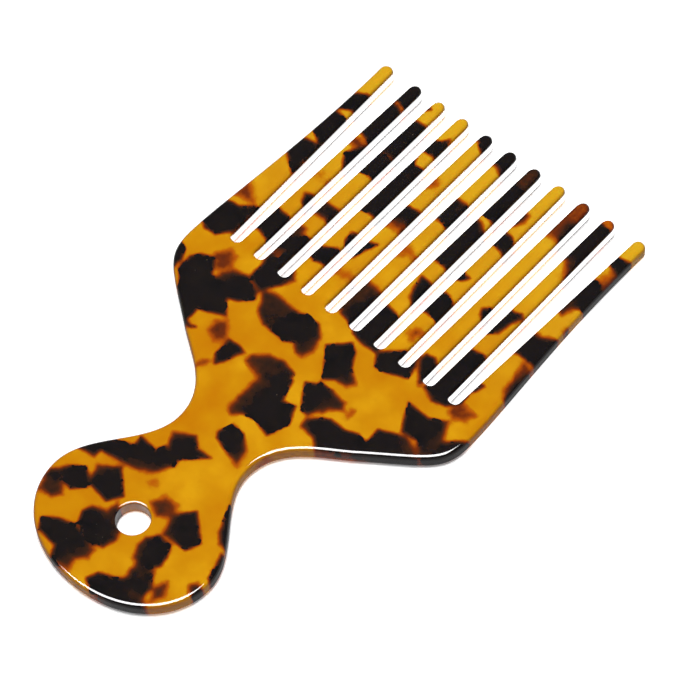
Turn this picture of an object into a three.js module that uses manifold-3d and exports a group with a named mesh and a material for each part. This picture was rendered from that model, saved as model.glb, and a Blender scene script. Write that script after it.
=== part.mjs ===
// Hair comb with eleven wide-set teeth, a waisted neck and an oval grip with a hanging hole.
//
// The comb is sawn from one flat sheet and polished round along every edge. It is modelled as one
// blank and then divided, at flat faces with nothing between them, into its natural regions: the
// grip, the neck, the palm and each tooth. The regions are rigidly one piece: nothing moves.
//
// Millimetres. +Y runs from the grip to the tips of the teeth, +Z is up out of the sheet, and the
// origin is the middle of the comb's underside.

import * as THREE from 'three';
import { mergeVertices } from 'three/addons/utils/BufferGeometryUtils.js';
import Module from 'manifold-3d';

// Overall size
const LENGTH = 170;
const WIDTH = 98.5;
const THICKNESS = 5;
const EDGE_RADIUS = 1.5;

// Grip and neck
const GRIP_WIDTH = 54;
const NECK_WIDTH = 24.5;
const HOLE_RADIUS = 4.5;
const HOLE_FROM_END = 22.25;
const HOLE_RIM_RADIUS = 0.75;

// Teeth
const TOOTH_COUNT = 11;
const PITCH = 8.5;
const SLOT_WIDTH_AT_PALM = 3;
const SLOT_FROM_END = 100.25;
const TIP_WIDTH = 4;
const TIP_ROUNDING = 2.5;
const OUTER_TIP_FROM_MIDDLE = 44.4;

// Places that follow from the sizes
const END = -LENGTH / 2;
const TIPS = LENGTH / 2;
const TIP_RADIUS = TIP_WIDTH / 2;
const SLOT_RADIUS = SLOT_WIDTH_AT_PALM / 2;
const TOOTH_ROOT = END + SLOT_FROM_END + SLOT_RADIUS;
const MIDDLE_TOOTH = (TOOTH_COUNT + 1) / 2;

// Stations along the right-hand edge: the end of the grip, its widest place, the neck, the middle of
// the palm's straight flank, the shoulder and the outer tooth. The edge passes each one heading the
// given number of degrees from +X, and holds that heading for about the lengths before and after,
// which are its Bezier handles. The stretch up to a station is drawn in that station's steps.
const SIDE_STATIONS = [
  { x: 0, y: END, heading: 0, after: 17 },
  { x: GRIP_WIDTH / 2, y: END + 21.25, heading: 90, before: 11, after: 11.5, steps: 12 },
  { x: NECK_WIDTH / 2, y: END + 51.5, heading: 90, before: 11, after: 11.5, steps: 10 },
  { x: 30.25, y: END + 72.75, heading: 36.75, before: 9, after: 19, steps: 7 },
  { x: WIDTH / 2, y: END + 95.75, heading: 90, before: 11, after: 13, steps: 9 },
  { x: OUTER_TIP_FROM_MIDDLE + TIP_RADIUS, y: TIPS - TIP_RADIUS, heading: 88.3, before: 31, steps: 6 },
];

// Lines across the comb where one region ends and the next begins
const GRIP_TO_NECK = -48;
const NECK_TO_PALM = -22;

const AMBER = 0xd8960f;

const wasm = await Module();
wasm.setup();

function vec(x, y) {
  return new THREE.Vector2(x, y);
}

// The point that lies a distance ahead of a station, or behind it if the distance is negative.
function ahead(station, distance) {
  const heading = THREE.MathUtils.degToRad(station.heading);
  return vec(station.x + distance * Math.cos(heading), station.y + distance * Math.sin(heading));
}

// Half of an ellipse from its right end to its left end, over the top or round the bottom.
function halfEllipse(x, y, halfWidth, height, overTop, steps) {
  return new THREE.EllipseCurve(x, y, halfWidth, height, 0, Math.PI, !overTop).getPoints(steps);
}

// The right-hand edge from the end of the grip to the outer tooth's tip.
function sideEdge() {
  const points = [];
  for (let i = 1; i < SIDE_STATIONS.length; i += 1) {
    const from = SIDE_STATIONS[i - 1];
    const to = SIDE_STATIONS[i];
    const handles = [ahead(from, from.after), ahead(to, -to.before)];
    const curve = new THREE.CubicBezierCurve(ahead(from, 0), ...handles, ahead(to, 0));
    points.push(...curve.getPoints(to.steps));
  }
  return points;
}

// The right half of the outline, from the end of the grip round to the middle tooth's tip.
function rightHalf() {
  const points = sideEdge();
  points.push(...halfEllipse(OUTER_TIP_FROM_MIDDLE, TIPS - TIP_RADIUS, TIP_RADIUS, TIP_RADIUS, true, 8));
  for (let place = MIDDLE_TOOTH - 2; place >= 0; place -= 1) {
    points.push(...halfEllipse((place + 0.5) * PITCH, TOOTH_ROOT, SLOT_RADIUS, SLOT_RADIUS, false, 6));
    points.push(...halfEllipse(place * PITCH, TIPS - TIP_ROUNDING, TIP_RADIUS, TIP_ROUNDING, true, 8));
  }
  return points.filter((point) => point.x > -1e-6);
}

// The whole outline, its left half mirrored from the right, with no point twice.
function outline() {
  const right = rightHalf();
  const left = right.map((point) => vec(-point.x, point.y)).reverse();
  const all = [...right, ...left];
  const distinct = all.filter((point, i) => point.distanceTo(all[(i + 1) % all.length]) > 1e-3);
  return new THREE.Shape(distinct);
}

function toSolid(geometry) {
  geometry.deleteAttribute('normal');
  geometry.deleteAttribute('uv');
  const merged = mergeVertices(geometry);
  const mesh = new wasm.Mesh({
    numProp: 3,
    vertProperties: merged.attributes.position.array,
    triVerts: new Uint32Array(merged.index.array),
  });
  return new wasm.Manifold(mesh);
}

function toGeometry(solid) {
  const mesh = solid.getMesh();
  const geometry = new THREE.BufferGeometry();
  geometry.setAttribute('position', new THREE.BufferAttribute(mesh.vertProperties, 3));
  geometry.setIndex(new THREE.BufferAttribute(mesh.triVerts, 1));
  geometry.computeVertexNormals();
  return geometry;
}

// The whole sheet, its edges rounded above and below, before the hole is drilled.
function sheet() {
  const geometry = new THREE.ExtrudeGeometry(outline(), {
    depth: THICKNESS - 2 * EDGE_RADIUS,
    bevelThickness: EDGE_RADIUS,
    bevelSize: EDGE_RADIUS,
    bevelOffset: -EDGE_RADIUS,
    bevelSegments: 3,
  });
  geometry.translate(0, 0, EDGE_RADIUS);
  return toSolid(geometry);
}

// What the drill and the rounding of the rims take out of the grip.
function hangingHole() {
  const mouth = HOLE_RADIUS + HOLE_RIM_RADIUS;
  const beyond = 1;
  const rounding = (height, from, to) => {
    const arc = new THREE.EllipseCurve(mouth, height, HOLE_RIM_RADIUS, HOLE_RIM_RADIUS, from, to, true);
    return arc.getPoints(3);
  };
  const profile = [
    vec(0, -beyond),
    vec(mouth, -beyond),
    ...rounding(HOLE_RIM_RADIUS, 1.5 * Math.PI, Math.PI),
    ...rounding(THICKNESS - HOLE_RIM_RADIUS, Math.PI, 0.5 * Math.PI),
    vec(mouth, THICKNESS + beyond),
    vec(0, THICKNESS + beyond),
  ];
  const geometry = new THREE.LatheGeometry(profile, 32);
  geometry.rotateX(Math.PI / 2);
  geometry.translate(0, END + HOLE_FROM_END, 0);
  return toSolid(geometry);
}

// The part of the blank between two lines along it and two lines across it.
function region(blank, left, right, bottom, top) {
  const geometry = new THREE.BoxGeometry(right - left, top - bottom, 2 * THICKNESS);
  geometry.translate((left + right) / 2, (bottom + top) / 2, THICKNESS / 2);
  return toGeometry(blank.intersect(toSolid(geometry)));
}

function named(name, geometry) {
  const material = new THREE.MeshStandardMaterial({ color: AMBER, roughness: 0.12, metalness: 0 });
  const mesh = new THREE.Mesh(geometry, material);
  mesh.name = name;
  return mesh;
}

// Every tooth from -X to +X, divided from its neighbours along the middles of the slots.
function teeth(blank) {
  const meshes = [];
  for (let number = 1; number <= TOOTH_COUNT; number += 1) {
    const middle = (number - MIDDLE_TOOTH) * PITCH;
    const left = number === 1 ? -WIDTH : middle - PITCH / 2;
    const right = number === TOOTH_COUNT ? WIDTH : middle + PITCH / 2;
    const name = `tooth_${String(number).padStart(2, '0')}`;
    meshes.push(named(name, region(blank, left, right, TOOTH_ROOT, LENGTH)));
  }
  return meshes;
}

const blank = sheet().subtract(hangingHole());

const comb = new THREE.Group();
comb.add(named('grip', region(blank, -WIDTH, WIDTH, -LENGTH, GRIP_TO_NECK)));
comb.add(named('neck', region(blank, -WIDTH, WIDTH, GRIP_TO_NECK, NECK_TO_PALM)));
comb.add(named('palm', region(blank, -WIDTH, WIDTH, NECK_TO_PALM, TOOTH_ROOT)));
comb.add(...teeth(blank));

export default comb;
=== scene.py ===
import math

import bpy
import numpy as np
from mathutils import Matrix, Vector
from mathutils.geometry import delaunay_2d_cdt
from mathutils.kdtree import KDTree


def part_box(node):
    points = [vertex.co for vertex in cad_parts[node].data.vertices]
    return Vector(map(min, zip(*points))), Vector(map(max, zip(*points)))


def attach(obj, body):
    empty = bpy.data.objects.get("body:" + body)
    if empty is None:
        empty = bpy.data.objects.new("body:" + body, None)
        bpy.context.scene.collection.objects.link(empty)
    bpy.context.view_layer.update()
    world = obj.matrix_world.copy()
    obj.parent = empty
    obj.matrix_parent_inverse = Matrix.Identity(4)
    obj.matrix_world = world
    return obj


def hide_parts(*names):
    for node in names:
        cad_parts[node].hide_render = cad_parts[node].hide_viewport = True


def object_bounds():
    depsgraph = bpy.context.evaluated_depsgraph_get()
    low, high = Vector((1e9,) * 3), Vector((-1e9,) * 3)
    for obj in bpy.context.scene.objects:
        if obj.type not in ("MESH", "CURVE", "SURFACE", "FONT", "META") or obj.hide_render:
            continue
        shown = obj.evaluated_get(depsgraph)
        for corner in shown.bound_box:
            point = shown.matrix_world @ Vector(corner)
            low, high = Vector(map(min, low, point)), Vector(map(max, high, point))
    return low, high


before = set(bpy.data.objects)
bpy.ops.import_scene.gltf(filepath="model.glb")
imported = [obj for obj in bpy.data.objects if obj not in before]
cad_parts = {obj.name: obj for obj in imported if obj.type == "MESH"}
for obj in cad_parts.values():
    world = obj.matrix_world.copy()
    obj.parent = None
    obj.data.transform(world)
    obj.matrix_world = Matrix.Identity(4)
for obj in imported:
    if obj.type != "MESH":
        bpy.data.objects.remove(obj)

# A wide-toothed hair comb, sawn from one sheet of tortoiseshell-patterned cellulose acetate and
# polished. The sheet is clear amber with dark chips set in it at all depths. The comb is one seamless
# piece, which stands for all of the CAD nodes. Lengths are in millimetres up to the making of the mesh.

MM = 0.001

cad_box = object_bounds()


# ---------------------------------------------------------------------------------------------
# Sizes, from the CAD nodes where they show them

def box_mm(name):
    low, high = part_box(name)
    return low / MM, high / MM


grip_low, grip_high = box_mm("grip")
palm_low, palm_high = box_mm("palm")
tooth_low, tooth_high = box_mm("tooth_06")
next_low, next_high = box_mm("tooth_07")

END = grip_low.y
TIPS = tooth_high.y
THICKNESS = palm_high.z
WIDTH = palm_high.x - palm_low.x
GRIP_WIDTH = grip_high.x - grip_low.x
TOOTH_ROOT = tooth_low.y
PITCH = (next_low.x + next_high.x) / 2
SLOT_RADIUS = (PITCH - (tooth_high.x - tooth_low.x)) / 2

# The rest, as in the CAD
NECK_WIDTH = 24.5
OUTER_TIP_FROM_MIDDLE = 44.4
TIP_RADIUS = 2
TIP_ROUNDING = 2.5
EDGE_RADIUS = 1.5
HOLE_RADIUS = 4.5
HOLE_RIM_RADIUS = 0.75
HOLE_FROM_END = 22.25
HOLE_Y = END + HOLE_FROM_END
TEETH_EACH_SIDE = 5

# Stations along the right-hand edge, as in the CAD: where the edge is, its heading in degrees from +X
# and the lengths of its Bezier handles before and after.
SIDE_STATIONS = (
    (0, END, 0, 0, 17),
    (GRIP_WIDTH / 2, END + 21.25, 90, 11, 11.5),
    (NECK_WIDTH / 2, END + 51.5, 90, 11, 11.5),
    (30.25, END + 72.75, 36.75, 9, 19),
    (WIDTH / 2, END + 95.75, 90, 11, 13),
    (OUTER_TIP_FROM_MIDDLE + TIP_RADIUS, TIPS - TIP_RADIUS, 88.3, 31, 0),
)

# How finely the mesh is drawn: the longest step along the outline, the spacing of the points on the
# faces, how much of that spacing they keep from the rims, and the numbers of steps
EDGE_PITCH = 0.8
FACE_PITCH = 0.62
RIM_CLEARANCE = 0.55
SIDE_STEPS = 60
TIP_STEPS = 18
SLOT_STEPS = 16
HOLE_STEPS = 72
EDGE_STEPS = 6
HOLE_RIM_STEPS = 4
WALL_STEPS = 3


# ---------------------------------------------------------------------------------------------
# The outline and the faces

def bezier(start, end, steps):
    x0, y0, heading0, _, after = start
    x3, y3, heading3, before, _ = end
    a0, a3 = math.radians(heading0), math.radians(heading3)
    p0 = np.array((x0, y0))
    p3 = np.array((x3, y3))
    p1 = p0 + after * np.array((math.cos(a0), math.sin(a0)))
    p2 = p3 - before * np.array((math.cos(a3), math.sin(a3)))
    t = np.linspace(0, 1, steps + 1)[:, None]
    return (1 - t) ** 3 * p0 + 3 * (1 - t) ** 2 * t * p1 + 3 * (1 - t) * t**2 * p2 + t**3 * p3


def half_ellipse(x, y, half_width, height, steps):
    """Half of an ellipse from its right end to its left end, below it if the height is negative."""
    angle = np.linspace(0, math.pi, steps + 1)
    return np.stack((x + half_width * np.cos(angle), y + height * np.sin(angle)), 1)


def subdivided(points, longest):
    """The closed outline with its long straight stretches cut into even steps."""
    out = []
    for here, there in zip(points, np.roll(points, -1, 0)):
        steps = max(1, math.ceil(np.linalg.norm(there - here) / longest))
        out.append(here + (there - here) * (np.arange(steps) / steps)[:, None])
    return np.concatenate(out)


def outline():
    """The comb's outline, counterclockwise from the end of the grip, seen from above."""
    right = [bezier(*pair, SIDE_STEPS) for pair in zip(SIDE_STATIONS, SIDE_STATIONS[1:])]
    outer_tip = (OUTER_TIP_FROM_MIDDLE, TIPS - TIP_RADIUS, TIP_RADIUS, TIP_RADIUS)
    right.append(half_ellipse(*outer_tip, TIP_STEPS))
    for place in range(TEETH_EACH_SIDE - 1, -1, -1):
        slot = ((place + 0.5) * PITCH, TOOTH_ROOT, SLOT_RADIUS, -SLOT_RADIUS)
        tip = (place * PITCH, TIPS - TIP_ROUNDING, TIP_RADIUS, TIP_ROUNDING)
        right.append(half_ellipse(*slot, SLOT_STEPS))
        right.append(half_ellipse(*tip, TIP_STEPS))
    half = np.concatenate(right)
    half = half[half[:, 0] > -1e-6]
    whole = np.concatenate((half, half[::-1] * (-1, 1)))
    step = np.linalg.norm(np.roll(whole, -1, 0) - whole, axis=1)
    return subdivided(whole[step > 1e-3], EDGE_PITCH)


def outward(points):
    """The unit normal of a closed counterclockwise outline at each of its points."""
    before = points - np.roll(points, 1, 0)
    after = np.roll(points, -1, 0) - points
    before /= np.linalg.norm(before, axis=1, keepdims=True)
    after /= np.linalg.norm(after, axis=1, keepdims=True)
    along = before + after
    normal = np.stack((along[:, 1], -along[:, 0]), 1)
    return normal / np.linalg.norm(normal, axis=1, keepdims=True)


def section(radius, steps):
    """An edge rounded below and above: (inset, height, outward share and upward share of the normal)."""
    rows = []
    for i in range(steps + 1):
        angle = math.pi / 2 * i / steps
        inset = radius * (1 - math.sin(angle))
        rows.append((inset, radius * (1 - math.cos(angle)), math.sin(angle), -math.cos(angle)))
    wall = [(0, radius + (THICKNESS - 2 * radius) * i / WALL_STEPS, 1, 0) for i in range(1, WALL_STEPS)]
    upper = [(inset, THICKNESS - z, out, -up) for inset, z, out, up in reversed(rows)]
    return rows + wall + upper


def inside(points, polygon, block=2000):
    """Which points lie inside a polygon, by counting the edges to their right, a block at a time."""
    x0, y0 = polygon.T
    x1, y1 = np.roll(polygon, -1, 0).T
    rise = np.where(y1 == y0, 1, y1 - y0)
    found = np.zeros(len(points), bool)
    for first in range(0, len(points), block):
        x, y = points[first:first + block].T[:, :, None]
        crosses = (y0 <= y) != (y1 <= y)
        right = x0 + (y - y0) * (x1 - x0) / rise > x
        found[first:first + block] = (crosses & right).sum(1) % 2 == 1
    return found


def face_points(rim, hole):
    """An even field of points inside the rim and outside the hole."""
    rows = np.arange(END, TIPS, FACE_PITCH * math.sqrt(0.75))
    columns = np.arange(-WIDTH / 2, WIDTH / 2, FACE_PITCH)
    x, y = np.meshgrid(columns, rows)
    x = x + np.where(np.arange(len(rows)) % 2, FACE_PITCH / 2, 0)[:, None]
    field = np.stack((x.ravel(), y.ravel()), 1)
    field = field[inside(field, rim) & ~inside(field, hole)]
    tree = KDTree(len(rim) + len(hole))
    for i, (px, py) in enumerate(np.concatenate((rim, hole))):
        tree.insert((px, py, 0), i)
    tree.balance()
    clear = [tree.find((px, py, 0))[2] > RIM_CLEARANCE * FACE_PITCH for px, py in field]
    return field[np.array(clear)]


def triangles(rim, hole, field):
    """Triangles that fill the face between the rim and the hole, over all three sets of points."""
    points = np.concatenate((rim, hole, field))
    loops = [(0, len(rim)), (len(rim), len(rim) + len(hole))]
    edges = [(i, i + 1 if i + 1 < end else first) for first, end in loops for i in range(first, end)]
    made = delaunay_2d_cdt([Vector(p) for p in points], edges, [], 0, 1e-7)
    if len(made[0]) != len(points):
        raise ValueError("the rim of the face touches itself")
    faces = np.array(made[2])
    middle = points[faces].mean(1)
    return faces[inside(middle, rim) & ~inside(middle, hole)]


# ---------------------------------------------------------------------------------------------
# The larger chips in the sheet, as simple corners read from the photograph

# Dark bands across the teeth: the middle of the tooth, where the band's lower and upper ends meet the
# tooth's left edge and its right edge, and how deep the band's top lies below the upper face.
TOOTH_BANDS = (
    (-44.3, 64, 70.5, 67.5, 74.3, 0), (-44.3, 56.3, 64.5, 52.3, 63.2, 0), (-44.3, 46, 51.3, 41.3, 52.5, 0),
    (-45, 26, 32, 27, 27.5, 1.8),
    (-34, 77.4, 90, 76.4, 90, 0), (-34, 63.2, 76.9, 61.8, 74.6, 0), (-34, 59, 60.5, 58, 61.5, 1.6),
    (-34, 44, 46, 44.5, 45.5, 3), (-34, 22.3, 30.5, 20.8, 29.8, 0),
    (-25.5, 60.8, 75, 62.5, 76, 0), (-25.5, 53.1, 61, 54, 61.8, 0), (-25.5, 35.5, 40, 35.5, 40.2, 0.6),
    (-17, 54, 63, 54, 63, 0.4), (-17, 44, 57, 45.2, 55, 0),
    (-8.5, 44.5, 48.5, 45.5, 48, 2), (-8.5, 24.5, 27.5, 25, 27.5, 3.2),
    (0, 79, 90, 76.5, 90, 0.45), (0, 55.7, 63.3, 54.5, 63.6, 0.35), (0, 39, 45, 42, 42.5, 2.8),
    (0, 17, 29, 17, 28, 1.2),
    (8.5, 76.3, 90, 76.3, 90, 1), (8.5, 64.3, 77.3, 63.8, 77, 0),
    (25.5, 70, 90, 70.5, 90, 2.2),
)

# The other chips: how deep the top lies below the upper face, the direction in degrees from +X in which
# the chip slopes down into the sheet, where that shows, and the corners in plan.
TOOTH_CHIPS = (
    (0, None, (-50, 23), (-44, 24), (-40, 27.3), (-40, 17), (-43, 13.3), (-46.5, 12.8), (-50, 15.5)),
    (0, 180, (-34.4, 55.3), (-32.2, 59), (-30.5, 60), (-30.5, 50), (-32.5, 52.5)),
    (0.2, 190, (-33.7, 38.3), (-32, 39.3), (-30.5, 40.3), (-30.5, 35), (-32.3, 35.7)),
    (0, None, (-28, 81.8), (-26.2, 80.8), (-28, 79.3)),
    (1.3, None, (-28.5, 30), (-26, 30), (-25, 28), (-25, 16), (-28.5, 16)),
    (0, None, (-28.5, 25), (-24.5, 28), (-22, 29), (-22, 15), (-24, 17), (-25.5, 21.5), (-28.5, 21)),
    (0, None, (-20, 73.8), (-17, 74.2), (-15.7, 76.5), (-15.3, 75), (-13.8, 74), (-13.8, 69.7),
     (-20, 69.3)),
    (0.1, None, (-20, 68.5), (-17.5, 64), (-14, 65), (-14, 62), (-20, 61)),
    (0.2, None, (-15.7, 37), (-13.8, 38.5), (-13.8, 33), (-15.3, 34)),
    (0, None, (-20, 28), (-16.5, 30), (-15, 31), (-13.8, 30), (-13.8, 25.5), (-17.3, 24), (-20, 25.2)),
    (0, None, (-12, 82.3), (-9.3, 81.2), (-7.3, 79.5), (-5, 78.8), (-5, 90), (-12, 90)),
    (2.6, None, (-11, 65), (-8, 64), (-7.5, 62), (-11, 60.5)),
    (0.3, -60, (-12, 53), (-8.5, 53.3), (-5, 54), (-5, 49), (-8, 47.5), (-12, 47.5)),
    (0.1, None, (-12, 37.5), (-9.5, 38), (-8, 38.5), (-9.3, 35.5), (-10, 32), (-12, 30.5)),
    (0, None, (-0.5, 82), (2.5, 82.5), (3, 78), (0.5, 79)),
    (0.8, None, (0.5, 26.5), (3.5, 26), (3.5, 16), (1, 17)),
    (0, None, (6, 62.3), (8.3, 61.8), (11.8, 59), (11.8, 44.7), (6, 45.3)),
    (0.2, 200, (7.5, 38.8), (11.8, 38.8), (11.8, 30.3), (9.5, 32), (8.3, 35)),
    (0, None, (5.7, 26.5), (8.5, 26), (11.8, 25.2), (11.8, 18.5), (9.5, 17.5), (9, 14), (5.7, 14)),
    (1, None, (14, 72), (16.5, 71.5), (16.8, 69), (16, 67), (14, 66)),
    (0, None, (14, 63.8), (17.5, 63.5), (20, 61.3), (20, 58), (17, 58.2), (14, 59.2)),
    (0.2, None, (14, 47.5), (15.8, 46.6), (17.5, 46.5), (16.2, 44.5), (14, 43.8)),
    (0, None, (14, 39), (17, 38.8), (20, 37.2), (20, 30.8), (17, 31.3), (14, 31.2)),
    (1.9, None, (16.5, 26), (19, 26), (18.5, 22), (16.5, 23)),
    (1.3, None, (25.5, 77), (29, 78), (29, 70.5), (26.5, 71.5)),
    (0.1, None, (26.2, 41.5), (27.5, 43), (29, 44), (29, 38.5), (26.8, 40)),
    (0.2, None, (24.3, 21.5), (26.5, 22.2), (28.8, 20.5), (29, 13), (26.5, 16), (24, 19.5)),
    (0, -90, (31, 82.5), (34, 81.7), (37.5, 82), (37.5, 60.5), (35, 64), (33, 67), (31, 67.5)),
    (3.6, None, (31, 90), (37.5, 90), (37.5, 80.5), (31, 80.5)),
    (0.1, -20, (31, 46.5), (33, 46), (35, 46.8), (36, 46), (34.7, 43), (34, 38.5), (32.3, 36.8),
     (31, 36.5)),
    (0, None, (30.5, 30.2), (33, 30.5), (36, 31), (37.5, 29), (37.5, 14), (30.5, 14)),
    (0, None, (41, 76.3), (44, 76.8), (48.5, 78.3), (48.5, 72.6), (46, 72.6), (41, 74.3)),
    (0, None, (41, 67.3), (44, 67.3), (46.5, 66.3), (49, 67.5), (49, 59.5), (46, 58), (43, 57.3),
     (40.5, 59)),
    (2.4, None, (44, 73), (48, 73), (48, 66), (43.5, 67)),
    (1, None, (41, 58.5), (44.5, 57.5), (43, 53.5), (41, 54.5)),
    (1.8, None, (46.5, 51.5), (49.5, 51), (49.5, 49.7), (46.8, 50.2)),
    (0, 120, (40, 44.5), (43.5, 45), (47, 47), (50, 48), (50, 36.8), (45, 37), (40, 37.2)),
    (1.4, None, (45, 36), (47.5, 35.5), (49.5, 31), (47, 31), (45.3, 33)),
    (0.9, 180, (46, 31.5), (50, 31), (50.5, 24), (48, 24.5), (46.2, 27)),
    (0, None, (40, 24), (41.8, 24), (41, 21.3), (40, 20.5)),
)
PALM_CHIPS = (
    (0, None, (-50, 6), (-47.5, 5.2), (-45.8, 4.3), (-44.3, 1.5), (-44.5, -2), (-50, -2)),
    (0, None, (-43.2, 3.8), (-41.5, 6.2), (-38, 7.7), (-35.8, 4.5), (-34, 0), (-40, -3), (-43, -1)),
    (0, None, (-43, 0.8), (-40, 3), (-30, 3.5), (-26.8, 0.2), (-23.3, -3.6), (-27.3, -5.5), (-30.5, -6.8),
     (-30.3, -9.5), (-31, -12), (-36, -10)),
    (0, 160, (-33.5, 4), (-31.8, 7.8), (-28, 9), (-22.3, 7.2), (-21, 5), (-24, 1.8), (-28, 0), (-32, 1)),
    (1.8, None, (-38.8, 9), (-36.5, 12.5), (-34, 11.5), (-32, 8.5), (-33, 5.5), (-36, 5)),
    (0, 0, (-27.2, 18), (-19, 18), (-17, 16), (-18.5, 13), (-20.5, 10), (-22, 7.8), (-26.8, 9.3)),
    (0.7, None, (-21.5, 8.5), (-18, 9.8), (-10, 9.5), (-8, 5), (-9.5, 1), (-14, 0.8), (-18, 3), (-19.5, 6)),
    (0, -10, (-10.5, 8.5), (-7.5, 10.3), (-3, 10.2), (0, 7.5), (1.5, 3), (0.3, 0), (-2, 0), (-4.3, 2),
     (-6.5, 0.5), (-11, 1), (-12, 4)),
    (1.7, None, (-24.5, -6.5), (-22, -4.2), (-19.5, -6.5), (-17.5, -9.5), (-20.5, -11.7), (-24, -9.5)),
    (0, -10, (-17.5, -8.5), (-14.5, -8), (-12, -8.8), (-13, -10.5), (-14, -14), (-15.5, -16.2),
     (-17.5, -14)),
    (1.5, None, (-19, -17.5), (-17.3, -16.3), (-17, -18), (-19, -19.5)),
    (0.3, None, (-31.5, -10.5), (-28.5, -11.8), (-27, -11.3), (-28.2, -12.3), (-30.5, -12.3)),
    (0.8, None, (-10, -10.5), (-10.3, -8), (-6.5, -5), (-2, -4), (2, -5), (3, -8), (0, -10.5), (-5, -11.5)),
    (0, 180, (-4.3, -12), (-4.2, -21), (-3.8, -23.5), (-2, -24.5), (0, -22.5), (4, -21.5), (9.3, -23),
     (11.3, -17), (9, -12.2), (5.5, -13), (4.2, -10), (3.3, -7), (1, -8), (-3, -9.5)),
    (0, -25, (2.7, 6.8), (7.4, 11.6), (10, 9.8), (12.5, 5.5), (16.5, 3), (15, 0.8), (11.5, 0.5),
     (8.8, -1.3)),
    (0.05, 0, (6.2, -5), (9, -3.5), (13, -2.5), (13.5, -12), (11, -11.8), (8.5, -8.5)),
    (0.8, None, (9, -2.5), (18, -3), (19, -5), (16, -7.5), (15.5, -9), (12, -11)),
    (0.6, None, (-1, 22), (-1, 17), (4, 15.2), (9, 13.2), (14, 13.5), (14, 22)),
    (0, 90, (14.3, 13.7), (16.5, 10.2), (18.5, 10.2), (25.3, 13), (24.5, 17), (23, 20.5), (19.5, 18.8),
     (16.5, 16.2)),
    (0, 200, (30.5, 24), (30.5, 13.8), (34.3, 11.8), (38, 13.2), (40.5, 16), (40.5, 19), (37, 24)),
    (1.8, None, (39.5, 15.5), (42, 16.5), (46, 16), (45, 13), (42, 11), (39.5, 12.5)),
    (0, 0, (30.3, 7.8), (37, 7.5), (41.5, 9.8), (44.5, 5), (45.5, 1), (44, -2.5), (42.5, -2.5),
     (39.5, 0.8), (34.5, 0.2), (32.5, 3.5)),
    (0.5, None, (44.5, 4), (47, 7), (51, 10.5), (51, -3), (45, -4), (44, 0)),
    (0.05, 40, (29.7, -3.3), (33, -1.8), (36.5, -0.2), (40.5, -1), (43, -3.5), (38, -9), (30, -12),
     (30, -6.5)),
    (0, None, (13.7, -13), (14, -15.3), (19, -16), (21.5, -18), (31, -12), (30, -8.2), (26.5, -7.6),
     (23.5, -9), (18.5, -9), (15.5, -11)),
    (1.5, None, (20.7, -3.5), (21.3, -3.2), (21.8, -5.8), (20.9, -5.6)),
    (0, -10, (-1, -30.5), (0.5, -26.5), (4.5, -26.8), (8.3, -29.8), (9.8, -34.8), (4, -33), (0, -31.8)),
    (0, None, (15.5, -25), (18, -22.5), (17.5, -24.5), (14.5, -29), (13, -31), (13.5, -28)),
)
GRIP_CHIPS = (
    (0, 150, (-9.5, -38), (-4.3, -34.9), (-1.5, -37.5), (2.8, -37.3), (-2.5, -42.5), (-6, -43),
     (-8.5, -40.5)),
    (0.05, -60, (-8.3, -42.3), (-3, -42.5), (-2.7, -45.3), (-5.3, -50), (-8.5, -51.8), (-14.5, -53.3),
     (-19.8, -53.8), (-20, -56.3), (-27, -57.5), (-27, -52), (-20, -49.5), (-16, -48), (-14.3, -47),
     (-15, -44.2), (-11.5, -44.5), (-9.5, -44.8)),
    (0, 150, (-17.6, -57.5), (-12.5, -53.9), (-6.2, -59.8), (-8.6, -63.5), (-15.8, -62.6)),
    (0.1, -150, (-25, -65), (-22.5, -62), (-19.5, -59.8), (-16, -62), (-15.2, -64), (-18, -67),
     (-21.5, -66), (-22.5, -68), (-26, -68.5)),
    (1, None, (-26, -66), (-21, -66.5), (-18.5, -69.5), (-20, -71.8), (-24.5, -72.5)),
    (2.5, None, (-4.5, -52.5), (-3, -51), (-2, -52), (-3.3, -53)),
    (1.3, None, (0.3, -56.5), (2, -52.8), (6, -52.5), (7.5, -56), (4, -58.5)),
    (0, -140, (10.8, -50.8), (17.9, -56.7), (16.2, -60.6), (9, -61.2), (7, -55.5)),
    (0.15, -150, (8.5, -62), (12.5, -62), (14, -65), (14.5, -68), (13, -70.5), (10.5, -71.5), (8, -70.5),
     (6, -67.5), (6.3, -64.5)),
    (0.5, None, (10.5, -70), (14.5, -70), (17, -74), (17, -77), (11, -77), (9.5, -73.5)),
    (0.05, 60, (3, -82.5), (4, -79.5), (8.5, -77.5), (12, -75), (17, -76.5), (19.5, -78.5), (19, -82),
     (14, -84), (6, -84)),
    (0.6, None, (-11.2, -69.5), (-10.3, -66.8), (-6.5, -65.5), (-6, -62), (-3.5, -63.5), (0, -67.5),
     (1, -70), (0, -73.5), (-4, -74.5), (-9, -72.5)),
    (0.1, None, (-10.5, -69.5), (-8.5, -67.5), (-3, -68), (-1, -70.5), (-2.5, -74.5), (-6, -74),
     (-9.5, -72.5)),
    (0, -20, (-17.8, -77.5), (-14.5, -75), (-10, -73.5), (-6, -74), (-1, -75.5), (-0.8, -78), (-3, -80.5),
     (-2, -84), (-8, -84.5), (-9.5, -81), (-16, -80.5)),
    (1.2, None, (17.5, -73.5), (19, -70), (21.5, -73.5), (19.5, -76.5)),
    (0, None, (23.8, -55.5), (25, -55.3), (28, -58), (28, -63.5), (26, -62.5), (25, -58.5)),
    (0.8, None, (23.8, -67), (25, -65.5), (28, -66), (28, -68.5), (25, -68.5)),
    (0.4, None, (16, -44), (18, -44), (24, -53.5), (21.5, -54), (19, -51), (17.3, -47)),
)
TOOTH_HALF_WIDTH = 3.2  # how far a band reaches to each side, a little more than a tooth
CHIP_SEED = 7
CHIP_THICKNESS = (2.5, 6)
PROUD = 0.15  # how much higher a chip lies than stated, so that one at no depth is cut though it slopes
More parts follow.
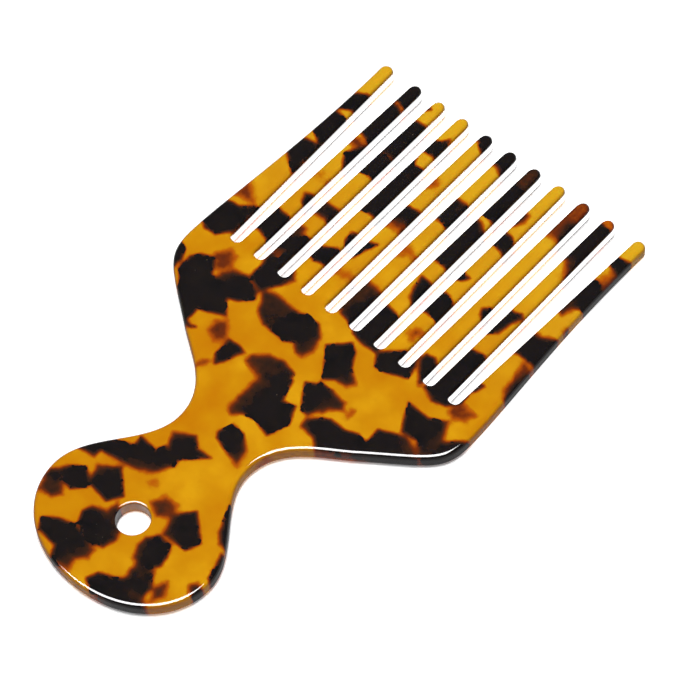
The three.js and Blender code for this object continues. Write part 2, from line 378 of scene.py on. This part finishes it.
GENTLE = (0.03, 0.12)  # how far most chips fall for each millimetre along them
STEEP = 0.2  # and how far one does whose direction is given
FADE_DEPTH = 2.5  # the amber over a chip that hides two thirds of its darkness
SOFT_EDGE = 2.4  # how wide the edge of a chip looks at the face
SOFTER_BELOW = 1.0  # and how much wider for each millimetre of amber over it
REACH = 3.0  # beyond this distance a chip has no effect


def band_corners(x, left_low, left_high, right_low, right_high, depth):
    left, right = x - TOOTH_HALF_WIDTH, x + TOOTH_HALF_WIDTH
    return depth, None, (left, left_low), (left, left_high), (right, right_high), (right, right_low)


def polygon_distance(points, corners):
    """The distance of each point from a polygon's edge, negative inside it."""
    nearest = np.full(len(points), np.inf)
    for start, end in zip(corners, np.roll(corners, -1, 0)):
        side = end - start
        share = np.clip((points - start) @ side / (side @ side), 0, 1)
        nearest = np.minimum(nearest, np.linalg.norm(points - start - share[:, None] * side, axis=1))
    return np.where(inside(points, corners), -nearest, nearest)


def chip_fields(points):
    """At each point of the surface: the distance to the nearest chip that is cut there, negative
    inside it, and how much the chips under the surface darken it."""
    rng = np.random.default_rng(CHIP_SEED)
    flake = np.full(len(points), REACH)
    light = np.ones(len(points))
    chips = tuple(band_corners(*band) for band in TOOTH_BANDS) + TOOTH_CHIPS + PALM_CHIPS + GRIP_CHIPS
    for depth, dip, *corners in chips:
        corners = np.array(corners, float)
        low, high = corners.min(0) - REACH, corners.max(0) + REACH
        near = ((points[:, :2] > low) & (points[:, :2] < high)).all(1)
        place = points[near]
        edge = polygon_distance(place[:, :2], corners)
        slope = rng.uniform(*GENTLE) if dip is None else STEEP
        dip = rng.uniform(0, 2 * math.pi) if dip is None else math.radians(dip)
        fall = (place[:, :2] - corners.mean(0)) @ (math.cos(dip), math.sin(dip)) * slope
        top = THICKNESS - depth + PROUD - fall
        bottom = top - rng.uniform(*CHIP_THICKNESS)
        under = np.maximum(0, np.maximum(place[:, 2] - top, bottom - place[:, 2]))
        flake[near] = np.minimum(flake[near], np.maximum(edge, under))
        share = np.clip(0.5 - edge / (SOFT_EDGE + SOFTER_BELOW * under), 0, 1)
        share = share * share * (3 - 2 * share)
        light[near] *= 1 - share * np.exp(-under / FADE_DEPTH)
    return flake, 1 - light


# ---------------------------------------------------------------------------------------------
# The mesh

def ring_faces(first, count, levels, flip):
    """Quads between closed rings of points that follow each other in the list of vertices."""
    here = np.arange(count)
    there = (here + 1) % count
    quads = []
    for level in range(levels - 1):
        low, high = first + level * count, first + (level + 1) * count
        quad = np.stack((low + here, low + there, high + there, high + here), 1)
        quads.append(quad[:, ::-1] if flip else quad)
    return np.concatenate(quads).tolist()


def comb_mesh():
    """The whole comb: the rings of its edge, the rings of its hole, and a field of points on each face."""
    edge = outline()
    turn = np.arange(HOLE_STEPS) * 2 * math.pi / HOLE_STEPS
    spoke = np.stack((np.cos(turn), np.sin(turn)), 1)
    bore = spoke * HOLE_RADIUS + (0, HOLE_Y)
    edge_rows = section(EDGE_RADIUS, EDGE_STEPS)
    hole_rows = section(HOLE_RIM_RADIUS, HOLE_RIM_STEPS)
    places, normals = [], []
    for line, normal, rows in ((edge, outward(edge), edge_rows), (bore, -spoke, hole_rows)):
        for inset, z, out, up in rows:
            places.append(np.column_stack((line - normal * inset, np.full(len(line), z))))
            normals.append(np.column_stack((normal * out, np.full(len(line), up))))

    rim = places[0][:, :2]
    hole = places[len(edge_rows)][:, :2]
    field = face_points(rim, hole)
    for z, up in ((0, -1), (THICKNESS, 1)):
        places.append(np.column_stack((field, np.full(len(field), z))))
        normals.append(np.tile((0.0, 0.0, up), (len(field), 1)))
    places = np.concatenate(places)
    normals = np.concatenate(normals)

    def face_numbers(*firsts):
        """The numbers of a face's vertices: its rim, its hole and its field, from their first ones."""
        sets = zip(firsts, (rim, hole, field))
        return np.concatenate([first + np.arange(len(points)) for first, points in sets])

    hole_first = len(edge) * len(edge_rows)
    field_first = hole_first + len(hole) * len(hole_rows)
    lower = face_numbers(0, hole_first, field_first)
    upper = face_numbers(hole_first - len(rim), field_first - len(hole), field_first + len(field))
    fill = triangles(rim, hole, field)
    faces = ring_faces(0, len(edge), len(edge_rows), False)
    faces += ring_faces(hole_first, len(hole), len(hole_rows), True)
    faces += upper[fill].tolist()
    faces += lower[fill[:, ::-1]].tolist()

    mesh = bpy.data.meshes.new("comb")
    mesh.from_pydata((places * MM).tolist(), [], faces)
    mesh.shade_smooth()
    mesh.normals_split_custom_set_from_vertices(normals.tolist())
    for name, values in zip(("flake", "deep"), chip_fields(places)):
        attribute = mesh.attributes.new(name, "FLOAT", "POINT")
        attribute.data.foreach_set("value", values.astype(np.float32))
    mesh.validate()
    return mesh


# ---------------------------------------------------------------------------------------------
# Node helpers

def new_material(name):
    material = bpy.data.materials.new(name)
    material.use_nodes = True
    material.node_tree.nodes.clear()
    return material, material.node_tree


def node(tree, kind, **settings):
    made = tree.nodes.new(kind)
    for key, value in settings.items():
        setattr(made, key, value)
    return made


def put(tree, value, socket):
    """Links an output socket to an input socket, or sets the input to a plain value."""
    if isinstance(value, bpy.types.NodeSocket):
        tree.links.new(value, socket)
    else:
        socket.default_value = value


def maths(tree, operation, *values):
    made = node(tree, "ShaderNodeMath", operation=operation)
    for value, socket in zip(values, made.inputs):
        put(tree, value, socket)
    return made.outputs[0]


def product(tree, first, *others):
    for other in others:
        first = maths(tree, "MULTIPLY", first, other)
    return first


def parts(tree, vector):
    """The X, Y and Z of a vector."""
    made = node(tree, "ShaderNodeSeparateXYZ")
    put(tree, vector, made.inputs[0])
    return made.outputs


def noise(tree, place, wavelength, detail=2.0):
    """Noise of about 0.3 to 0.7 whose main features are the given number of millimetres apart."""
    made = node(tree, "ShaderNodeTexNoise")
    put(tree, place, made.inputs["Vector"])
    made.inputs["Scale"].default_value = 1 / (wavelength * MM)
    made.inputs["Detail"].default_value = detail
    made.inputs["Roughness"].default_value = 0.5
    return made.outputs["Fac"]


def linear(colour):
    """A linear colour with alpha from an sRGB one of 0 to 255."""
    shares = [c / 255 for c in colour]
    return tuple(s / 12.92 if s <= 0.04045 else ((s + 0.055) / 1.055) ** 2.4 for s in shares) + (1.0,)


def ramp(tree, value, stops):
    """A colour ramp through (position, sRGB colour of 0 to 255) stops."""
    made = node(tree, "ShaderNodeValToRGB")
    elements = made.color_ramp.elements
    while len(elements) < len(stops):
        elements.new(0.5)
    for element, (position, colour) in zip(elements, stops):
        element.position = position
        element.color = linear(colour)
    put(tree, value, made.inputs["Fac"])
    return made.outputs["Color"]


def mix(tree, share, first, second, blend_type="MIX"):
    made = node(tree, "ShaderNodeMix", data_type="RGBA", blend_type=blend_type)
    put(tree, share, made.inputs["Factor"])
    put(tree, first, made.inputs["A"])
    put(tree, second, made.inputs["B"])
    return next(s for s in made.outputs if s.type == "RGBA")


def mapped(tree, value, from_low, from_high, to_low, to_high):
    """The value, stretched from one range to another and held at its ends."""
    made = node(tree, "ShaderNodeMapRange")
    put(tree, value, made.inputs["Value"])
    for name, number in (("From Min", from_low), ("From Max", from_high),
                         ("To Min", to_low), ("To Max", to_high)):
        made.inputs[name].default_value = number
    return made.outputs["Result"]


def varied(tree, place, wavelength, low, high, detail=2.0):
    """Noise that runs from low to high."""
    return mapped(tree, noise(tree, place, wavelength, detail), 0.3, 0.7, low, high)


def attribute(tree, name):
    return node(tree, "ShaderNodeAttribute", attribute_name=name).outputs["Fac"]


def finish_material(tree, shader):
    output = node(tree, "ShaderNodeOutputMaterial")
    put(tree, shader, output.inputs["Surface"])


# ---------------------------------------------------------------------------------------------
# The acetate. Colours are sRGB of 0 to 255, and a pitch is how many millimetres apart the features of
# a noise are.

AMBER = ((0, (193, 120, 1)), (0.5, (200, 135, 4)), (1, (213, 154, 12)))
# The painted glow towards the tips of the teeth: its colour and how much of it
TIP_GLOW_AMBER = (214, 166, 30)
TIP_GLOW_SHARE = 0.85
CLOUD_PITCHES = (26, 7)
CLOUD_SHARES = (0.6, 0.4)
GRAIN_PITCH = 2.2
GRAIN = 0.07
DEEP_CHIP = (
    (0.1, (192, 122, 3)),
    (0.28, (176, 82, 4)),
    (0.48, (110, 43, 10)),
    (0.68, (60, 34, 20)),
    (0.9, (26, 21, 21)),
)
CUT_CHIP = ((0.35, (19, 17, 18)), (0.7, (30, 24, 22)))
CUT_CHIP_PITCH = 5
CUT_BLUR = 0.06
RAGGED_PITCH = 3.2
RAGGED = 0.5
FINE_RAGGED_PITCH = 0.9
FINE_RAGGED = 0.12
# The painted shade on the rounded edges and walls: its tint and how much of it
EDGE_SHADE_TINT = (170, 132, 115)
EDGE_SHADE_SHARE = 0.6
SPECK = (120, 105, 98)
SPECK_PITCH = 3.1
SPECK_SHARE = 0.5
ROUGHNESS = (0.06, 0.12)
ROUGHNESS_PITCH = 9
WAVE_PITCH = 6
WAVE_HEIGHT = 0.05
WAVE_STRENGTH = 0.25
ACETATE_IOR = 1.58
SCATTER_SHARE = 0.25
SCATTER_COLOUR = (1, 0.5, 0.08)
SCATTER_DEPTH = 1.2


def amber_and_tip_glow(tree, place):
    """Amber that is a little milky and clearer in some places than in others, with a painted glow towards
    the tips of the teeth: lighter and yellower there, where there is less of it, for the light that comes
    through the thin teeth."""
    large, small = (maths(tree, "MULTIPLY", noise(tree, place, pitch), share)
                    for pitch, share in zip(CLOUD_PITCHES, CLOUD_SHARES))
    clouds = maths(tree, "ADD", large, small)
    amber = ramp(tree, mapped(tree, clouds, 0.35, 0.65, 0, 1), AMBER)
    along = parts(tree, place)["Y"]
    # Painted glow: lighter and yellower towards the tips of the teeth
    tip_glow = mapped(tree, along, TOOTH_ROOT * MM, TIPS * MM, 0, TIP_GLOW_SHARE)
    return mix(tree, tip_glow, amber, linear(TIP_GLOW_AMBER))


def with_deep_chips(tree, place, amber):
    """Chips under the surface: orange where they are deep or thin, then red-brown, then nearly black."""
    grain = varied(tree, place, GRAIN_PITCH, -GRAIN, GRAIN, 3)
    deep = maths(tree, "ADD", attribute(tree, "deep"), grain)
    return mix(tree, mapped(tree, deep, 0.05, 0.2, 0, 1), amber, ramp(tree, deep, DEEP_CHIP))


def cut_chips(tree, place):
    """Where the surface cuts a chip, with crisp and slightly ragged edges."""
    ragged = varied(tree, place, RAGGED_PITCH, -RAGGED, RAGGED)
    fine = varied(tree, place, FINE_RAGGED_PITCH, -FINE_RAGGED, FINE_RAGGED)
    flake = maths(tree, "ADD", attribute(tree, "flake"), maths(tree, "ADD", ragged, fine))
    return mapped(tree, flake, CUT_BLUR, -CUT_BLUR, 0, 1)


def painted_edge_shade(tree, colour):
    """Painted shade: round the edges and on the walls, where the surface turns away from up, the colour is
    darkened and browned, standing in for the deeper look of the sheet seen through its whole width there.
    """
    up = parts(tree, node(tree, "ShaderNodeTexCoord").outputs["Normal"])["Z"]
    # Painted shade: how much darker, from how far the normal turns away from up
    turned = mapped(tree, maths(tree, "ABSOLUTE", up), 0.8, 0.5, 0, EDGE_SHADE_SHARE)
    return mix(tree, turned, colour, linear(EDGE_SHADE_TINT), "MULTIPLY")


def with_specks(tree, place, cut, colour):
    """Tiny pale inclusions, seen only against the dark."""
    specks = node(tree, "ShaderNodeTexVoronoi")
    put(tree, place, specks.inputs["Vector"])
    specks.inputs["Scale"].default_value = 1 / (SPECK_PITCH * MM)
    speck = mapped(tree, specks.outputs["Distance"], 0.035, 0.06, SPECK_SHARE, 0)
    return mix(tree, product(tree, speck, cut), colour, linear(SPECK))


def polishing_waves(tree, place):
    bump = node(tree, "ShaderNodeBump")
    bump.inputs["Strength"].default_value = WAVE_STRENGTH
    bump.inputs["Distance"].default_value = WAVE_HEIGHT * MM
    put(tree, noise(tree, place, WAVE_PITCH, 1), bump.inputs["Height"])
    return bump.outputs["Normal"]


def acetate():
    """Polished tortoiseshell acetate, with faint waves and a gloss that varies slightly."""
    material, tree = new_material("tortoiseshell_acetate")
    place = node(tree, "ShaderNodeTexCoord").outputs["Object"]
    cut = cut_chips(tree, place)
    dark = ramp(tree, noise(tree, place, CUT_CHIP_PITCH, 3), CUT_CHIP)
    # The amber with its painted glow towards the tips, and the chips under the surface
    colour = with_deep_chips(tree, place, amber_and_tip_glow(tree, place))
    colour = mix(tree, cut, colour, dark)
    # Painted shade on the rounded edges and walls
    colour = painted_edge_shade(tree, colour)
    colour = with_specks(tree, place, cut, colour)

    shader = node(tree, "ShaderNodeBsdfPrincipled")
    put(tree, colour, shader.inputs["Base Color"])
    put(tree, varied(tree, place, ROUGHNESS_PITCH, *ROUGHNESS, 3), shader.inputs["Roughness"])
    put(tree, polishing_waves(tree, place), shader.inputs["Normal"])
    shader.inputs["IOR"].default_value = ACETATE_IOR
    shader.inputs["Subsurface Weight"].default_value = SCATTER_SHARE
    shader.inputs["Subsurface Radius"].default_value = SCATTER_COLOUR
    shader.inputs["Subsurface Scale"].default_value = SCATTER_DEPTH * MM
    finish_material(tree, shader.outputs[0])
    return material


# ---------------------------------------------------------------------------------------------
# The comb

comb = bpy.data.objects.new("comb", comb_mesh())
bpy.context.scene.collection.objects.link(comb)
comb.data.materials.append(acetate())
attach(comb, "root")
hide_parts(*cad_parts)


# ---------------------------------------------------------------------------------------------
# Table, light and camera

# The table, in metres, and how many millimetres it lies under the comb. For the camera it glows a
# little near the comb and fully further away. Its matt grey is darker in reflections.
TABLE_SIZE = 6.0
TABLE_GAP = 0.05
NEAR_GLOW = 0.25
GLOW_FROM = 0.12
GLOW_FULL = 0.6
MATT = 0.9
MATT_IN_REFLECTIONS = 0.3

# The light that comes up through the slots and the hole, seen in reflections only: its strengths, how
# far it reaches from a slot's middle and over what width it fades, how far it reaches under the outer
# teeth, and where it starts and ends along the comb
SLOT_LIGHT = 7.0
HOLE_LIGHT = 0.6
SLOT_LIGHT_REACH = 3.0
SLOT_LIGHT_FADE = 0.4
OUTER_TOOTH = 43.5
LIGHT_START = 5
LIGHT_FULL = 13
LIGHT_STOP = TIPS + 1.5
LIGHT_END = TIPS + 3

# The stretch of table to the right of the comb on which the camera sees no shadow
UNSHADED_START = WIDTH / 2 - 4
UNSHADED_FULL = WIDTH / 2 - 3
UNSHADED_STOP = WIDTH / 2 + 5
UNSHADED_END = WIDTH / 2 + 7

# The lights, in metres and watts
LIGHT_HEIGHT = 1.6
SOFTBOX_SIZE = (0.7, 0.7)
SOFTBOX_WATTS = 31
UNDERLIGHT_WATTS = 22
STRIP_SIZE = (4.1, 1.6)
STRIP_SIDEWAYS = -0.95
STRIP_NEARER = 1.2
STRIP_WATTS = 480

# What reflections show of the room
ROOM_COLOUR = (0.9, 0.95, 1, 1)
ROOM_STRENGTH = 0.05

# The camera, in degrees and millimetres
CAMERA_AZIMUTH = 45.96
CAMERA_ELEVATION = 58.35
CAMERA_ROLL = -4.56
CAMERA_DISTANCE = 803.05
CAMERA_LENS = 163.45
CAMERA_SENSOR = 36
CAMERA_AIM = (3.02, 11.35, THICKNESS / 2)


def rise(tree, value, start, full, most=1):
    """0 up to one length in millimetres and the most from another, or the reverse if that is smaller."""
    return mapped(tree, value, start * MM, full * MM, 0, most)


def slot_light(tree, x, lengthwise):
    """Where light comes up between the teeth."""
    from_middle = maths(tree, "FRACT", maths(tree, "DIVIDE", x, PITCH * MM))
    from_middle = maths(tree, "ABSOLUTE", maths(tree, "SUBTRACT", from_middle, 0.5))
    full_reach = SLOT_LIGHT_REACH - SLOT_LIGHT_FADE
    in_slot = mapped(tree, from_middle, SLOT_LIGHT_REACH / PITCH, full_reach / PITCH, 0, 1)
    # The slot beside the left outer tooth is wider towards the tips.
    flare = rise(tree, x, (0.5 - TEETH_EACH_SIDE) * PITCH, (0.25 - TEETH_EACH_SIDE) * PITCH)
    in_slot = maths(tree, "MAXIMUM", in_slot, flare)
    short_of_left = rise(tree, x, -OUTER_TOOTH, 1 - OUTER_TOOTH)
    short_of_right = rise(tree, x, OUTER_TOOTH, OUTER_TOOTH - 1)
    return product(tree, in_slot, short_of_left, short_of_right, *lengthwise, SLOT_LIGHT)


def hole_light(tree, place):
    """A little light under the hole."""
    from_hole = node(tree, "ShaderNodeVectorMath", operation="DISTANCE")
    put(tree, place, from_hole.inputs[0])
    from_hole.inputs[1].default_value = (0, HOLE_Y * MM, 0)
    return rise(tree, from_hole.outputs["Value"], HOLE_RADIUS, HOLE_RADIUS - 1, HOLE_LIGHT)


def seen_glow(tree, place, x, past_start):
    """How white the camera sees the table: fully away from the comb, so that the table runs out into
    the background, and beside the right outer tooth and the palm's straight flank."""
    distance = node(tree, "ShaderNodeVectorMath", operation="LENGTH")
    put(tree, place, distance.inputs[0])
    fade = mapped(tree, distance.outputs["Value"], GLOW_FROM, GLOW_FULL, NEAR_GLOW, 1)
    right_of_start = rise(tree, x, UNSHADED_START, UNSHADED_FULL)
    left_of_end = rise(tree, x, UNSHADED_END, UNSHADED_STOP)
    unshaded = product(tree, right_of_start, left_of_end, past_start)
    return maths(tree, "MAXIMUM", fade, unshaded)


def table_material():
    """A pale matt surface that glows where the notes above say so, lets light from below through, and
    can't be seen from below."""
    material, tree = new_material("table")
    place = node(tree, "ShaderNodeTexCoord").outputs["Object"]
    x, y, _ = parts(tree, place)
    ray = node(tree, "ShaderNodeLightPath").outputs
    past_start = rise(tree, y, LIGHT_START, LIGHT_FULL)
    before_end = rise(tree, y, LIGHT_END, LIGHT_STOP)
    from_below = maths(tree, "ADD", slot_light(tree, x, (past_start, before_end)), hole_light(tree, place))
    reflected = product(tree, from_below, ray["Is Glossy Ray"])
    seen = product(tree, seen_glow(tree, place, x, past_start), ray["Is Camera Ray"])

    glow = node(tree, "ShaderNodeEmission")
    put(tree, maths(tree, "ADD", reflected, seen), glow.inputs["Strength"])
    matt = node(tree, "ShaderNodeBsdfDiffuse")
    put(tree, mapped(tree, ray["Is Glossy Ray"], 0, 1, MATT, MATT_IN_REFLECTIONS), matt.inputs["Color"])
    above = node(tree, "ShaderNodeAddShader")
    put(tree, glow.outputs[0], above.inputs[0])
    put(tree, matt.outputs[0], above.inputs[1])
    clear = node(tree, "ShaderNodeBsdfTransparent")
    backfacing = node(tree, "ShaderNodeNewGeometry").outputs["Backfacing"]
    both = node(tree, "ShaderNodeMixShader")
    put(tree, maths(tree, "MAXIMUM", backfacing, ray["Is Shadow Ray"]), both.inputs[0])
    put(tree, above.outputs[0], both.inputs[1])
    put(tree, clear.outputs[0], both.inputs[2])
    finish_material(tree, both.outputs[0])
    return material


def table():
    half = TABLE_SIZE / 2
    z = cad_box[0].z - TABLE_GAP * MM
    corners = [(-half, -half, z), (half, -half, z), (half, half, z), (-half, half, z)]
    mesh = bpy.data.meshes.new("table")
    mesh.from_pydata(corners, [], [(0, 1, 2, 3)])
    mesh.materials.append(table_material())
    floor = bpy.data.objects.new("table", mesh)
    bpy.context.scene.collection.objects.link(floor)


def background(tree, colour, strength):
    made = node(tree, "ShaderNodeBackground")
    made.inputs["Color"].default_value = colour
    made.inputs["Strength"].default_value = strength
    return made.outputs[0]


def studio():
    """A white background for the camera, and a dim room for the reflections."""
    world = bpy.data.worlds.new("studio")
    bpy.context.scene.world = world
    world.use_nodes = True
    tree = world.node_tree
    tree.nodes.clear()
    both = node(tree, "ShaderNodeMixShader")
    put(tree, node(tree, "ShaderNodeLightPath").outputs["Is Camera Ray"], both.inputs[0])
    put(tree, background(tree, ROOM_COLOUR, ROOM_STRENGTH), both.inputs[1])
    put(tree, background(tree, (1, 1, 1, 1), 1), both.inputs[2])
    output = node(tree, "ShaderNodeOutputWorld")
    put(tree, both.outputs[0], output.inputs["Surface"])


def area_light(name, shape, size, watts, sideways=0, nearer=0):
    """A soft light over the comb, moved to the camera's right and towards the camera."""
    light = bpy.data.lights.new(name, "AREA")
    light.shape = shape
    light.size, light.size_y = size
    light.energy = watts
    lamp = bpy.data.objects.new(name, light)
    turn = Matrix.Rotation(math.radians(CAMERA_AZIMUTH), 4, "Z")
    lamp.matrix_world = turn @ Matrix.Translation((sideways, -nearer, LIGHT_HEIGHT))
    bpy.context.scene.collection.objects.link(lamp)
    return lamp


def lights():
    """A softbox that lights the comb, a long strip that draws the bright line along its edges, and a
    light from below for the underside."""
    softbox = area_light("softbox", "DISK", SOFTBOX_SIZE, SOFTBOX_WATTS)
    softbox.visible_glossy = False
    strip = area_light("strip", "RECTANGLE", STRIP_SIZE, STRIP_WATTS, STRIP_SIDEWAYS, STRIP_NEARER)
    strip.visible_diffuse = False
    underlight = area_light("underlight", "DISK", SOFTBOX_SIZE, UNDERLIGHT_WATTS)
    underlight.matrix_world = Matrix.Rotation(math.pi, 4, "X") @ underlight.matrix_world
    underlight.visible_glossy = False
    underlight.visible_camera = False


def camera():
    azimuth, elevation, roll = map(math.radians, (CAMERA_AZIMUTH, CAMERA_ELEVATION, CAMERA_ROLL))
    back = Vector((
        math.sin(azimuth) * math.cos(elevation),
        -math.cos(azimuth) * math.cos(elevation),
        math.sin(elevation),
    ))
    data = bpy.data.cameras.new("camera")
    data.lens = CAMERA_LENS
    data.sensor_width = CAMERA_SENSOR
    data.clip_start = 0.01
    data.clip_end = 20
    view = bpy.data.objects.new("camera", data)
    level = (-back).to_track_quat("-Z", "Y").to_matrix()
    turned = (level @ Matrix.Rotation(roll, 3, "Z")).to_4x4()
    place = (Vector(CAMERA_AIM) + back * CAMERA_DISTANCE) * MM
    view.matrix_world = Matrix.Translation(place) @ turned
    bpy.context.scene.collection.objects.link(view)
    bpy.context.scene.camera = view


table()
studio()
lights()
camera()
bpy.context.scene.view_settings.view_transform = "Standard"
